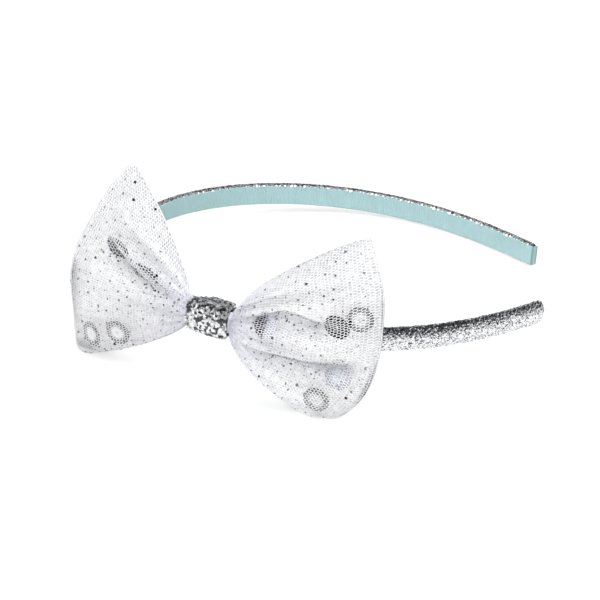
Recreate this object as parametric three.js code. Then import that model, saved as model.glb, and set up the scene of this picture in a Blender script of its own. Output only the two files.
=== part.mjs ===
// Bow headband lying on its side: glitter band, ribbon lining and a bow of net with sequins inside.
// Millimetres, +Z up, the tips of the band towards +X, the bow on the limb towards -Y.
import * as THREE from 'three';

// Band: the inner face follows a curve from the apex to each tip
const HALF_LENGTH = 174.8;
const APEX_X = -60;
const CURVE_STEPS = 240;
const BAND_STEPS = 60;
// at: share of the way from apex to tip, bend: curvature there in 1/mm
const BENDS = [
  { at: 0.0, bend: 0.0186 },
  { at: 0.25, bend: 0.0163 },
  { at: 0.5, bend: 0.015 },
  { at: 0.75, bend: 0.0126 },
  { at: 1.0, bend: 0.0024 },
];

// Ribbon lining: flat against the inner side, turned round the far end of the band
const CLOTH = 1.0;
const GAP = 0.3;
const LINING_WIDTH = 6.4;
const LINING_TURN = 2.4;
const LINING_HEEL = 0.33;

// Glitter cover: flat inner side, crowned outer side
const COVER_WIDTH = 7.0;
const COVER_INNER = CLOTH + GAP;
const COVER_EDGE = 2.3;
const COVER_CROWN = 1.0;
const COVER_LIP = 0.3;
const COVER_FACE_STEPS = 4;
// back: distance from the tip, width: share of the full width left by the rounded corners
const TIP_ROUNDING = [
  { back: 0.0, width: 0.7 },
  { back: 0.5, width: 0.88 },
  { back: 1.6, width: 1.0 },
];

// Knot: a strip wound round the band and the necks of the bow, seen along the band
const KNOT_AT = -63.2;
const KNOT_WALL = 1.2;
const KNOT_CROWN = 0.25;
const KNOT_HALF_FRONT = 6.4;
const KNOT_HALF_BACK = 4.4;
const KNOT_STEPS = 44;
// Inside of the loop: out from the inner face of the band, up from its middle, round: corner radius
const KNOT_CORNERS = [
  { out: -0.3, up: -3.8, round: 0.6 },
  { out: 9.2, up: -2.7, round: 2.6 },
  { out: 9.2, up: 5.7, round: 2.6 },
  { out: -0.3, up: 3.8, round: 0.6 },
];

// Bow pouches: flat cloth fanned out from the knot to a rounded outer fold
const BOW_AT = -64.5;
const POUCH_OUT = 6.25;
const POUCH_UP = 1.2;
const NECK_START = 0.4;
const NECK_HALF = 3.2;
const NECK_FILL = 1.6;
const SWEEP = 0.12;
const SWEEP_EASE = 10;
const FULLNESS = 0.6;
const HOLLOW_MIN = 0.2;
const HOLLOW_WIDE = 0.94;
const HOLLOW_LONG = 0.955;
const POUCH_ROWS = 17;
const GATHERS = 5;
const GATHER_DEPTH = 1.4;
const GATHER_FADE = 3.2;
const BAND_CLEAR_SLOPE = 1.5;
// share: from the knot to the outer fold, front and back: hollow half depth there
const PUFF = [
  { share: 0.0, front: 1.6, back: 1.6 },
  { share: 0.12, front: 3.0, back: 2.0 },
  { share: 0.35, front: 6.0, back: 4.0 },
  { share: 0.6, front: 7.2, back: 5.6 },
  { share: 0.82, front: 5.6, back: 4.6 },
  { share: 0.94, front: 2.8, back: 2.4 },
  { share: 1.0, front: 0.5, back: 0.5 },
];
// Outer folds from lowest to highest, reach: away from the knot, height: over the band's middle
const LEFT_EDGE = [
  { reach: 42.5, height: -23.4 },
  { reach: 50.4, height: -24.6 },
  { reach: 53.2, height: -13.5 },
  { reach: 55.6, height: -1.0 },
  { reach: 53.8, height: 10.0 },
  { reach: 49.0, height: 20.5 },
  { reach: 43.4, height: 31.0 },
  { reach: 34.4, height: 41.8 },
];
const RIGHT_EDGE = [
  { reach: 33.0, height: -23.2 },
  { reach: 43.5, height: -20.4 },
  { reach: 50.8, height: -11.5 },
  { reach: 53.8, height: 0.0 },
  { reach: 54.2, height: 10.5 },
  { reach: 53.6, height: 20.8 },
  { reach: 51.0, height: 29.5 },
  { reach: 45.6, height: 39.0 },
];
// Lapped pleats of the front cloth, lowest line first: place across, -1 lowest to 1 highest, and how full
// the cloth is there, at each of PLEAT_SHARES on the way from the knot to the outer fold
const PLEAT_STEPS = 3;
const PLEAT_START = 0.03;
const PLEAT_SHARES = [0.15, 0.38, 0.62, 0.9];
const LEFT_PLEATS = [
  { across: [-1, -1, -1, -1], full: [0, 0, 0, 0] },
  { across: [-0.7, -0.7, -0.7, -0.7], full: [0.66, 0.68, 0.68, 0.68] },
  { across: [-0.26, -0.25, -0.24, -0.24], full: [0.85, 0.94, 0.97, 0.97] },
  { across: [-0.17, -0.16, -0.15, -0.15], full: [0.78, 0.9, 0.97, 0.98] },
  { across: [-0.08, -0.07, -0.06, -0.06], full: [0.92, 1, 1, 1] },
  { across: [0.08, 0.12, 0.18, 0.26], full: [0.78, 0.82, 0.88, 0.9] },
  { across: [0.23, 0.28, 0.37, 0.45], full: [0.42, 0.42, 0.5, 0.76] },
  { across: [0.35, 0.4, 0.49, 0.57], full: [0.95, 1, 0.92, 0.74] },
  { across: [0.7, 0.72, 0.75, 0.8], full: [0.75, 0.7, 0.65, 0.52] },
  { across: [1, 1, 1, 1], full: [0, 0, 0, 0] },
];
const RIGHT_PLEATS = [
  { across: [-1, -1, -1, -1], full: [0, 0, 0, 0] },
  { across: [-0.72, -0.72, -0.72, -0.72], full: [0.62, 0.64, 0.66, 0.68] },
  { across: [-0.44, -0.35, -0.31, -0.24], full: [0.5, 0.5, 0.48, 0.62] },
  { across: [-0.31, -0.22, -0.18, -0.11], full: [0.95, 1.05, 1.02, 0.98] },
  { across: [-0.12, 0, -0.04, -0.03], full: [0.85, 0.92, 0.95, 0.97] },
  { across: [0.08, 0.17, 0.06, 0.03], full: [0.6, 0.6, 0.78, 0.97] },
  { across: [0.22, 0.33, 0.17, 0.1], full: [0.42, 0.42, 0.6, 0.95] },
  { across: [0.34, 0.45, 0.3, 0.25], full: [1, 1, 0.95, 0.92] },
  { across: [0.72, 0.72, 0.72, 0.72], full: [0.85, 0.8, 0.76, 0.7] },
  { across: [1, 1, 1, 1], full: [0, 0, 0, 0] },
];
// Each side of the bow: neckEnd is where the cloth leaves the knot, flare how soon it spreads, low and high
const LEFT = { side: -1, neckEnd: 9.1, flare: [0.7, 0.7], edge: LEFT_EDGE, pleats: LEFT_PLEATS };
const RIGHT = { side: 1, neckEnd: 7.0, flare: [0.52, 0.7], edge: RIGHT_EDGE, pleats: RIGHT_PLEATS };

// Sequins: loose discs inside the pouches, resting against the front cloth
const SEQUIN_RADIUS = 4.2;
const SEQUIN_THICK = 0.5;
const SEQUIN_SIDES = 16;
// share and across: place in the pouch, depth: in front of its middle, lean and turn: up and out in degrees
const LEFT_SEQUINS = [
  { share: 0.565, across: -0.55, depth: 3.75, lean: -12, turn: -2 },
  { share: 0.82, across: -0.57, depth: 2.4, lean: -8, turn: 20 },
  { share: 0.68, across: 0.34, depth: 1.5, lean: -25, turn: 10 },
  { share: 0.425, across: 0.23, depth: 0.1, lean: -35, turn: 4 },
];
const RIGHT_SEQUINS = [
  { share: 0.73, across: 0.17, depth: 3.3, lean: -11, turn: 3 },
  { share: 0.855, across: 0.24, depth: 0.8, lean: 0, turn: 18 },
  { share: 0.79, across: -0.33, depth: 1.85, lean: 1, turn: 12 },
  { share: 0.76, across: -0.64, depth: 1.75, lean: -11, turn: 9 },
  { share: 0.23, across: 0.05, depth: 1.15, lean: 14, turn: -11 },
];

// Lying: the floor touches both pouches and the far limb, so the band leans
const LEAN_ACROSS = 6.9;
const LEAN_ALONG = 5.33;
const FLOOR = -13.485;

const SILVER = { color: 0xa9abae, roughness: 0.45, metalness: 0.7 };
const AQUA = { color: 0xa8d4d4, roughness: 0.8, metalness: 0.0 };
const NET = { color: 0xf2f2f5, roughness: 0.7, metalness: 0.0 };
const COARSE_GLITTER = { color: 0xc4c2bf, roughness: 0.4, metalness: 0.7 };
const SEQUIN = { color: 0xb9bcc2, roughness: 0.2, metalness: 0.9 };

function lookUp(table, key, field, value) {
  if (value <= table[0][key]) return table[0][field];
  for (let i = 1; i < table.length; i += 1) {
    const low = table[i - 1];
    const high = table[i];
    if (value <= high[key]) {
      const part = (value - low[key]) / (high[key] - low[key]);
      return low[field] + part * (high[field] - low[field]);
    }
  }
  return table[table.length - 1][field];
}

// Value between stops, from a list of values at those stops
function between(stops, values, at) {
  return lookUp(stops.map((stop, i) => ({ stop, value: values[i] })), 'stop', 'value', at);
}

// One half of the inner curve: distance from the apex, place and turn at each step
function traceCurve() {
  const step = HALF_LENGTH / CURVE_STEPS;
  const rows = [{ along: 0, x: APEX_X, y: 0, turn: 0 }];
  for (let i = 0; i < CURVE_STEPS; i += 1) {
    const last = rows[i];
    const bend = lookUp(BENDS, 'at', 'bend', (i + 0.5) / CURVE_STEPS);
    const middle = last.turn + 0.5 * bend * step;
    rows.push({
      along: last.along + step,
      x: last.x + Math.sin(middle) * step,
      y: last.y + Math.cos(middle) * step,
      turn: last.turn + bend * step,
    });
  }
  return rows;
}

const CURVE = traceCurve();

// Point out from the inner face and up from the middle, at a distance from the apex, far limb positive
function bandPoint(along, out, up) {
  const side = Math.sign(along) || 1;
  const inside = Math.min(Math.abs(along), HALF_LENGTH);
  const past = Math.abs(along) - inside;
  const turn = lookUp(CURVE, 'along', 'turn', inside);
  const x = lookUp(CURVE, 'along', 'x', inside) + past * Math.sin(turn) - out * Math.cos(turn);
  const y = lookUp(CURVE, 'along', 'y', inside) + past * Math.cos(turn) + out * Math.sin(turn);
  return new THREE.Vector3(x, side * y, up);
}

// Closed solid from rings of equal length: the ends are zipped shut, or joined when the rings go round
function solidFromRings(rings, goesRound) {
  const size = rings[0].length;
  const positions = rings.flat().flatMap((point) => point.toArray());
  const index = [];
  const quad = (a, b, c, d) => index.push(a, b, c, a, c, d);
  const spans = goesRound ? rings.length : rings.length - 1;
  for (let i = 0; i < spans; i += 1) {
    const here = i * size;
    const next = ((i + 1) % rings.length) * size;
    for (let j = 0; j < size; j += 1) {
      const k = (j + 1) % size;
      quad(here + j, here + k, next + k, next + j);
    }
  }
  if (!goesRound) {
    const last = (rings.length - 1) * size;
    for (let j = 0; j + 1 < size / 2; j += 1) {
      const across = size - 1 - j;
      quad(j, across, across - 1, j + 1);
      quad(last + j, last + j + 1, last + across - 1, last + across);
    }
  }
  const geometry = new THREE.BufferGeometry();
  geometry.setAttribute('position', new THREE.Float32BufferAttribute(positions, 3));
  geometry.setIndex(index);
  return facingOut(geometry);
}

// Turns the faces over where the enclosed volume comes out negative
function facingOut(geometry) {
  const index = geometry.getIndex().array;
  const place = geometry.getAttribute('position');
  const [a, b, c] = [new THREE.Vector3(), new THREE.Vector3(), new THREE.Vector3()];
  let volume = 0;
  for (let i = 0; i < index.length; i += 3) {
    a.fromBufferAttribute(place, index[i]);
    b.fromBufferAttribute(place, index[i + 1]);
    c.fromBufferAttribute(place, index[i + 2]);
    volume += a.dot(b.cross(c));
  }
  if (volume < 0) geometry.setIndex(Array.from(index).reverse());
  geometry.computeVertexNormals();
  return geometry;
}

function makeCover() {
  const stops = [];
  const inner = TIP_ROUNDING[TIP_ROUNDING.length - 1].back;
  for (let i = 0; i <= BAND_STEPS; i += 1) {
    stops.push((HALF_LENGTH - inner) * ((2 * i) / BAND_STEPS - 1));
  }
  for (const row of TIP_ROUNDING.slice(0, -1)) {
    stops.push(HALF_LENGTH - row.back);
    stops.push(row.back - HALF_LENGTH);
  }
  stops.sort((a, b) => a - b);
  const rings = stops.map((along) => {
    const half = 0.5 * COVER_WIDTH * lookUp(TIP_ROUNDING, 'back', 'width', HALF_LENGTH - Math.abs(along));
    const outer = [];
    const flat = [];
    for (let j = 0; j <= COVER_FACE_STEPS; j += 1) {
      const across = (2 * j) / COVER_FACE_STEPS - 1;
      const out = COVER_EDGE + COVER_CROWN * (1 - across * across);
      outer.push(bandPoint(along, out, across * half));
      flat.push(bandPoint(along, COVER_INNER, -across * (half - COVER_LIP)));
    }
    return [...outer, ...flat];
  });
  return solidFromRings(rings, false);
}

// Strip seen from above, with a short turn round the far tip
function makeLining() {
  const corners = [];
  const spread = (from, to, out) => {
    for (let i = 0; i <= BAND_STEPS; i += 1) {
      corners.push(bandPoint(THREE.MathUtils.lerp(from, to, i / BAND_STEPS), out, 0));
    }
  };
  spread(-HALF_LENGTH, HALF_LENGTH + GAP, CLOTH);
  corners.push(bandPoint(HALF_LENGTH + GAP, LINING_TURN, 0));
  corners.push(bandPoint(HALF_LENGTH + GAP + CLOTH, LINING_TURN, 0));
  corners.push(bandPoint(HALF_LENGTH + GAP + CLOTH, LINING_HEEL, 0));
  spread(HALF_LENGTH + GAP + CLOTH - LINING_HEEL, -HALF_LENGTH, 0);
  const shape = new THREE.Shape(corners.map((corner) => new THREE.Vector2(corner.x, corner.y)));
  const strip = new THREE.ExtrudeGeometry(shape, { depth: LINING_WIDTH, bevelEnabled: false });
  return strip.translate(0, 0, -0.5 * LINING_WIDTH);
}

// Inside of the knot as a rounded outline, in out and up
function knotOutline() {
  const outline = new THREE.Path();
  KNOT_CORNERS.forEach((corner, i) => {
    const at = new THREE.Vector2(corner.out, corner.up);
    const ends = [KNOT_CORNERS.at(i - 1), KNOT_CORNERS[(i + 1) % KNOT_CORNERS.length]].map((other) => {
      const way = new THREE.Vector2(other.out, other.up).sub(at).normalize();
      return way.multiplyScalar(corner.round).add(at);
    });
    if (i === 0) outline.moveTo(ends[0].x, ends[0].y);
    else outline.lineTo(ends[0].x, ends[0].y);
    outline.quadraticCurveTo(at.x, at.y, ends[1].x, ends[1].y);
  });
  outline.closePath();
  return outline.getSpacedPoints(KNOT_STEPS).slice(0, KNOT_STEPS);
}

function makeKnot() {
  const loop = knotOutline();
  const front = Math.max(...KNOT_CORNERS.map((corner) => corner.out));
  const rings = loop.map((point, i) => {
    const before = loop.at(i - 1);
    const after = loop[(i + 1) % loop.length];
    const way = after.clone().sub(before).normalize();
    const out = new THREE.Vector2(way.y, -way.x);
    const half = THREE.MathUtils.lerp(KNOT_HALF_BACK, KNOT_HALF_FRONT, Math.max(point.x, 0) / front);
    const place = (across, rise) => {
      const at = point.clone().addScaledVector(out, rise);
      return bandPoint(KNOT_AT - across, at.x, at.y);
    };
    const bevel = 0.5 * KNOT_WALL;
    return [
      place(-half, 0),
      place(0, 0),
      place(half, 0),
      place(half, bevel),
      place(half - bevel, KNOT_WALL),
      place(0, KNOT_WALL + KNOT_CROWN),
      place(bevel - half, KNOT_WALL),
      place(-half, bevel),
    ];
  });
  return solidFromRings(rings, true);
}

// Frame of the bow: tangent to the band behind the bow, towards the tips and outwards
const BOW_FOOT = bandPoint(BOW_AT, 0, 0);
const OUTWARD = bandPoint(BOW_AT, 1, 0).sub(BOW_FOOT);
const TIPWARD = new THREE.Vector3(-OUTWARD.y, OUTWARD.x, 0);
const UPWARD = new THREE.Vector3(0, 0, 1);
const POUCH_MIDDLE = BOW_FOOT.clone().addScaledVector(OUTWARD, POUCH_OUT).addScaledVector(UPWARD, POUCH_UP);

// Outer face of the band in the frame of the bow, nearest first, on one side of the knot
function bandBehind(side) {
  const rows = [];
  for (let i = 0; i <= BAND_STEPS; i += 1) {
    const face = bandPoint(BOW_AT - side * i, COVER_EDGE + COVER_CROWN, 0).sub(POUCH_MIDDLE);
    rows.push({ reach: side * face.dot(TIPWARD), depth: face.dot(OUTWARD) });
  }
  return rows;
}

// How full smooth cloth is across a pouch
function crown(across) {
  return (1 - across * across) ** FULLNESS;
}

// A pouch as a rule: share runs from the knot to the outer fold, across from the lowest to the highest edge
function pouchShape({ side, neckEnd, flare, edge, pleats }) {
  const corners = edge.map((row) => new THREE.Vector2(row.reach, row.height - POUCH_UP));
  const outline = new THREE.SplineCurve(corners);
  const band = bandBehind(side);
  const drift = (reach) => -SWEEP * reach * reach / (reach + SWEEP_EASE);
  const flat = (share, across) => {
    const rim = outline.getPoint(0.5 * (across + 1));
    const neck = across * NECK_HALF;
    if (share < 0) return new THREE.Vector2(neckEnd + share * (neckEnd - NECK_START), neck);
    const reach = THREE.MathUtils.lerp(neckEnd, rim.x, share);
    const spread = share ** THREE.MathUtils.lerp(flare[0], flare[1], 0.5 * (across + 1));
    return new THREE.Vector2(reach, THREE.MathUtils.lerp(neck, rim.y, spread));
  };
  // Pleat lines at a share, smooth at the knot and at the outer fold
  const linesAt = (share) => pleats.map((line) => {
    const full = [crown(line.across[0]), ...line.full, crown(line.across.at(-1))];
    return {
      across: between(PLEAT_SHARES, line.across, share),
      full: between([PLEAT_START, ...PLEAT_SHARES, 1], full, share),
    };
  });
  const fullness = (share, across) => {
    const lines = linesAt(share);
    let full = 0;
    for (let i = 1; i < lines.length; i += 1) {
      const part = THREE.MathUtils.smoothstep(across, lines[i - 1].across, lines[i].across);
      full += (lines[i].full - lines[i - 1].full) * part;
    }
    return full;
  };
  // Places across the cloth for the corners of its faces: on the pleat lines and evenly between them
  const columnsAt = (share) => {
    const lines = linesAt(share);
    const columns = [];
    for (let i = 0; i < PLEAT_STEPS * (lines.length - 1); i += 1) {
      const line = Math.floor(i / PLEAT_STEPS);
      const part = (i % PLEAT_STEPS) / PLEAT_STEPS;
      columns.push(THREE.MathUtils.lerp(lines[line].across, lines[line + 1].across, part));
    }
    return [...columns, 1];
  };
  const frontFill = (share, across) => {
    if (share <= 0) return NECK_FILL * crown(across);
    const fill = lookUp(PUFF, 'share', 'front', share) * fullness(share, across);
    const gather = GATHER_DEPTH * Math.sin(Math.PI * share) * Math.exp(-GATHER_FADE * share) * crown(across);
    return fill + gather * Math.cos(GATHERS * Math.PI * across);
  };
  const backFill = (share, across) => {
    if (share <= 0) return NECK_FILL * crown(across);
    const fill = lookUp(PUFF, 'share', 'back', share) * crown(across);
    const spot = flat(share, across);
    const room = drift(spot.x) - lookUp(band, 'reach', 'depth', spot.x) - CLOTH - GAP;
    const clear = Math.max(Math.abs(spot.y + POUCH_UP) - 0.5 * COVER_WIDTH - CLOTH, 0);
    return Math.min(fill, room + BAND_CLEAR_SLOPE * clear);
  };
  // Point in front of the middle of the pouch
  const within = (share, across, depth) => {
    const spot = flat(share, across);
    const place = POUCH_MIDDLE.clone().addScaledVector(TIPWARD, side * spot.x);
    return place.addScaledVector(OUTWARD, drift(spot.x) + depth).addScaledVector(UPWARD, spot.y);
  };
  // Point on the hollow, grown by the cloth for the outside; front is 1 for the front cloth, -1 for the back
  const point = (share, across, front, cloth) => {
    const fill = front > 0 ? frontFill(share, across) : backFill(share, across);
    return within(share, across, front * (Math.max(fill, HOLLOW_MIN) + cloth));
  };
  // Way out of the pouch, leaned up and turned towards the outer fold
  const facing = (lean, turn) => {
    const up = Math.sin(THREE.MathUtils.degToRad(lean));
    const level = Math.cos(THREE.MathUtils.degToRad(lean));
    const aside = side * level * Math.sin(THREE.MathUtils.degToRad(turn));
    const out = level * Math.cos(THREE.MathUtils.degToRad(turn));
    return UPWARD.clone().multiplyScalar(up).addScaledVector(TIPWARD, aside).addScaledVector(OUTWARD, out);
  };
  return { point, within, facing, columnsAt };
}

function pouchRing(shape, share, wide, cloth) {
  const columns = shape.columnsAt(share).map((across) => THREE.MathUtils.clamp(across, -wide, wide));
  const front = columns.map((across) => shape.point(share, across, 1, cloth));
  const back = columns.map((across) => shape.point(share, across, -1, cloth)).reverse();
  return [...front, ...back].map((point) => restOnFloor(point, CLOTH - cloth));
}

// Wall of cloth round a hollow that opens into the knot
function makePouch(shape) {
  const inside = [];
  const outside = [];
  for (let i = -1; i <= POUCH_ROWS; i += 1) {
    const share = i < 0 ? -1 : i / POUCH_ROWS;
    inside.unshift(pouchRing(shape, i < 0 ? share : share * HOLLOW_LONG, HOLLOW_WIDE, 0));
    outside.push(pouchRing(shape, share, 1, CLOTH));
  }
  return solidFromRings([...inside, ...outside], false);
}

function makeSequin(shape, row) {
  const axis = new THREE.Vector3(0, 1, 0);
  const disc = new THREE.CylinderGeometry(SEQUIN_RADIUS, SEQUIN_RADIUS, SEQUIN_THICK, SEQUIN_SIDES);
  const facing = shape.facing(row.lean, row.turn);
  disc.applyQuaternion(new THREE.Quaternion().setFromUnitVectors(axis, facing));
  const middle = shape.within(row.share, row.across, row.depth);
  return disc.translate(middle.x, middle.y, middle.z);
}

// Turn from the plane of the band to the lying part
const LYING = new THREE.Matrix4().makeRotationFromEuler(
  new THREE.Euler(-THREE.MathUtils.degToRad(LEAN_ACROSS), THREE.MathUtils.degToRad(LEAN_ALONG), 0),
);
const STANDING = LYING.clone().invert();

// Cloth that would sink under the floor is pressed flat on it
function restOnFloor(point, above) {
  const lying = point.clone().applyMatrix4(LYING);
  lying.z = Math.max(lying.z, FLOOR + above);
  return lying.applyMatrix4(STANDING);
}

const headband = new THREE.Group();
headband.name = 'bow_headband';

function add(name, geometry, finish) {
  geometry.applyMatrix4(LYING);
  const mesh = new THREE.Mesh(geometry, new THREE.MeshStandardMaterial(finish));
  mesh.name = name;
  headband.add(mesh);
}

const leftPouch = pouchShape(LEFT);
const rightPouch = pouchShape(RIGHT);
add('band_cover', makeCover(), SILVER);
add('band_lining', makeLining(), AQUA);
add('bow_knot', makeKnot(), COARSE_GLITTER);
add('bow_loop_left', makePouch(leftPouch), NET);
add('bow_loop_right', makePouch(rightPouch), NET);
LEFT_SEQUINS.forEach((row, i) => add(`sequin_left_${i + 1}`, makeSequin(leftPouch, row), SEQUIN));
RIGHT_SEQUINS.forEach((row, i) => add(`sequin_right_${i + 1}`, makeSequin(rightPouch, row), SEQUIN));

// The part stands on the plane z = 0, centred over the origin
const box = new THREE.Box3().setFromObject(headband);
const centre = box.getCenter(new THREE.Vector3());
headband.children.forEach((mesh) => mesh.geometry.translate(-centre.x, -centre.y, -box.min.z));

export default headband;
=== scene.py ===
"""Bow headband: a silver glitter band with an aqua ribbon lining and a net bow with sequins inside."""
import math

import bpy
import numpy as np
from mathutils import Matrix, Quaternion, Vector


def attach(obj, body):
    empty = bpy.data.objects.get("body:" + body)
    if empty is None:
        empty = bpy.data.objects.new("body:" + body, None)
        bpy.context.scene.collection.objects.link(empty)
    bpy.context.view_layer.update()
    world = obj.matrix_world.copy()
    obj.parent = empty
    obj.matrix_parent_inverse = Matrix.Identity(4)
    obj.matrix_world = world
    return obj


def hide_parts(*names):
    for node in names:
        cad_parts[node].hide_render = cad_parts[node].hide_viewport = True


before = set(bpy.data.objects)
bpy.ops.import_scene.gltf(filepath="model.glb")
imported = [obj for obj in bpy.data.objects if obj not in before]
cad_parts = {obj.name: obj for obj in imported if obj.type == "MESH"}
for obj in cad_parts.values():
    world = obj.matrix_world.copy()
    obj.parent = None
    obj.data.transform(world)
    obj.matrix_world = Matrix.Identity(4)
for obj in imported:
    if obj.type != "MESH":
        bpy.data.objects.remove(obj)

bl_info = {
    "name": "Bow headband",
    "version": (1, 0, 0),
    "blender": (4, 5, 0),
    "location": "View3D > Sidebar > Bow headband",
    "description": "Builds a glitter headband with a bow of sequin-filled net",
    "category": "Add Mesh",
}

MM = 0.001

# Lengths below are in millimetres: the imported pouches' wall, the gap between touching solids, and the least
# height of a surface and of a flake's middle over the floor
CLOTH = 1.0
GAP = 0.3
ABOVE_FLOOR = 0.02
FLAKE_ABOVE_FLOOR = 0.5

COVER_SEED = 11
KNOT_SEED = 23
NET_SEED = 37

# Band: bend in 1/mm at shares of the way from the apex to each tip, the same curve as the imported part
HALF_LENGTH = 174.8
APEX_X = -60.0
CURVE_STEPS = 240
BEND_AT = (0.0, 0.25, 0.5, 0.75, 1.0)
BEND = (0.0186, 0.0163, 0.015, 0.0126, 0.0024)

# Glitter cover: levels out from the inner face, nap on the near limb, corners rounded off at the tips
COVER_WIDTH = 7.0
COVER_INNER = 0.5
COVER_EDGE = 1.9
COVER_CROWN = 1.4
COVER_LIP = 0.3
COVER_NAP = 0.35
NAP_ALONG = (-30.0, 0.0)
TIP_BACK = (0.0, 0.5, 1.6)
TIP_WIDTH = (0.9, 0.97, 1.0)
INNER_STEPS = 7
WALL_STEPS = 4
# Facets slide by this share of their size, so that no rows show
FACET_SLIDE = 0.7
# Loose plates of glitter: sides, and least and added share of the width at each corner
CHIP_SIDES = 6
CHIP_UNEVEN = (0.8, 0.4)

# Loose flakes along the edges; a width is the least, the most added to it, and a power
FLAKE_STEP = 0.75
FLAKE_OUT = 0.15
FLAKE_UNDER = (0.35, 0.1)
FLAKE_WIDTH = (0.45, 0.5, 2)
FLAKE_THICK = 0.06
FLAKE_LEAN = 0.25
# White flakes along the upper edge, painted white as glints, fewer near the apex
SPARK_STEP = 1.3
SPARK_START = 0.6
SPARK_OUT = (0.1, -0.2)
SPARK_LEVEL = (3.0, 0.25)
SPARK_WIDTH = (0.3, 0.8, 2)
SPARK_ALONG = (20.0, 90.0)
SPARK_SHARE = (0.15, 1.0)

# Ribbon lining: it starts short of the near tip and is turned up round the far one
LINING_THICK = 0.4
LINING_START = 0.3
LINING_TURN = 2.4
LINING_DROP = 0.25
RIB_STEPS = 6
TURN_STEPS = 7
TAIL_STEPS = 9
# Painted shade on the tail turned up round the far tip, from its start to its end
TAIL_SHADE = (0.3, 1.0)
RIBBON_ACROSS = np.array((-1.0, -0.95, 0.0, 0.95, 1.0))

# Knot: corners of the inside of the loop as out, up and corner radius
KNOT_AT = -63.2
KNOT_WALL = 1.2
KNOT_CROWN = 0.25
KNOT_HALF_FRONT = 6.4
KNOT_HALF_BACK = 4.4
KNOT_CORNERS = ((-0.3, -3.8, 0.6), (9.2, -2.7, 2.6), (9.2, 5.7, 2.6), (-0.3, 3.8, 0.6))
KNOT_CORNER_STEPS = 25
KNOT_ROUND = 38.0
KNOT_INSIDE = (1.0, 0.0, -1.0)
# Share of the wall that is thinned away at the strip's edges, and how suddenly
KNOT_THINNED = 0.55
KNOT_EDGE_POWER = 10
KNOT_FLAKES = 420
KNOT_FLAKE_UP = 0.1
KNOT_FLAKE_SPREAD = 0.95
KNOT_FLAKE_WIDTH = (0.5, 0.7, 1)
KNOT_FLAKE_THICK = 0.08
KNOT_FLAKE_LEAN = 0.2

# Pouches: where the bow sits on the band, its necks, and front and back fill at shares of the reach
BOW_AT = -64.5
POUCH_OUT = 6.25
POUCH_UP = 1.2
NECK_START = 0.4
NECK_HALF = 3.2
NECK_FILL = 1.6
SWEEP = 0.12
SWEEP_EASE = 10.0
FULLNESS = 0.6
HOLLOW_MIN = 0.2
BAND_CLEAR_SLOPE = 1.5
BAND_SAMPLES = 61
PUFF_AT = (0.0, 0.12, 0.35, 0.6, 0.82, 0.94, 1.0)
PUFF_FRONT = (1.6, 3.0, 6.0, 7.2, 5.6, 2.8, 0.5)
PUFF_BACK = (1.6, 2.0, 4.0, 5.6, 4.6, 2.4, 0.5)
# Cloth over the hollow of the pouch, and how near the edges its front and back are drawn together
NET_LIFT = 0.9
BACKING_LIFT = 0.6
DRAWN_IN = (0.03, 0.05)
# Gathers at the knot, fine creases and the folds of the back: number, depth and fading along the reach
GATHERS = 5
GATHER_DEPTH = 1.4
GATHER_FADE = 3.2
CREASES = 11
CREASE_DEPTH = 0.55
CREASE_START = 0.04
CREASE_FADE = 0.17
BACK_FOLDS = 5
BACK_FOLD_DEPTH = 1.1
BACK_FOLD_FADE = 1.2
# Waver of the folds across the cloth: how far, how often, and shift from side to side
FRONT_WAVER = (0.05, 7.0, 1.0)
BACK_WAVER = (0.06, 5.0, 2.0)
# Bend of the back's folds along the reach: how far and how often
BACK_STRAY = (0.08, 3.0)
# Outer folds, lowest first: reach from the knot and height over the middle of the band
LEFT_EDGE = (
    (42.5, -23.4), (50.4, -24.6), (53.2, -13.5), (55.6, -1.0),
    (53.8, 10.0), (49.0, 20.5), (43.6, 31.4), (34.6, 43.5),
)
RIGHT_EDGE = (
    (33.0, -23.2), (43.5, -20.4), (50.8, -11.5), (53.8, 0.0),
    (54.2, 10.5), (53.6, 20.8), (51.2, 30.0), (47.2, 40.3),
)
# Pleat lines of the front cloth, lowest first: across at each of PLEAT_SHARES, and how full it is there
PLEAT_START = 0.03
PLEAT_SHARES = (0.15, 0.38, 0.62, 0.9)
LEFT_PLEATS = (
    ((-0.7, -0.7, -0.7, -0.7), (0.66, 0.68, 0.68, 0.68)),
    ((-0.26, -0.25, -0.24, -0.24), (0.85, 0.94, 0.97, 0.97)),
    ((-0.17, -0.16, -0.15, -0.15), (0.78, 0.9, 0.97, 0.98)),
    ((-0.08, -0.07, -0.06, -0.06), (0.92, 1.0, 1.0, 1.0)),
    ((0.1, 0.14, 0.2, 0.28), (0.75, 0.8, 0.85, 0.9)),
    ((0.26, 0.31, 0.4, 0.47), (0.25, 0.25, 0.36, 0.74)),
    ((0.35, 0.4, 0.49, 0.57), (0.95, 1.0, 0.92, 0.74)),
    ((0.7, 0.72, 0.75, 0.8), (0.75, 0.7, 0.65, 0.52)),
)
RIGHT_PLEATS = (
    ((-0.72, -0.72, -0.72, -0.72), (0.62, 0.64, 0.66, 0.68)),
    ((-0.42, -0.33, -0.29, -0.22), (0.46, 0.4, 0.32, 0.55)),
    ((-0.31, -0.22, -0.18, -0.11), (0.95, 1.05, 1.02, 0.98)),
    ((-0.12, 0.0, -0.04, -0.03), (0.85, 0.92, 0.95, 0.97)),
    ((0.1, 0.2, 0.08, 0.03), (0.55, 0.55, 0.75, 0.97)),
    ((0.25, 0.36, 0.19, 0.1), (0.3, 0.28, 0.55, 0.95)),
    ((0.34, 0.45, 0.3, 0.25), (1.0, 1.0, 0.95, 0.92)),
    ((0.72, 0.72, 0.72, 0.72), (0.85, 0.8, 0.76, 0.7)),
)
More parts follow.
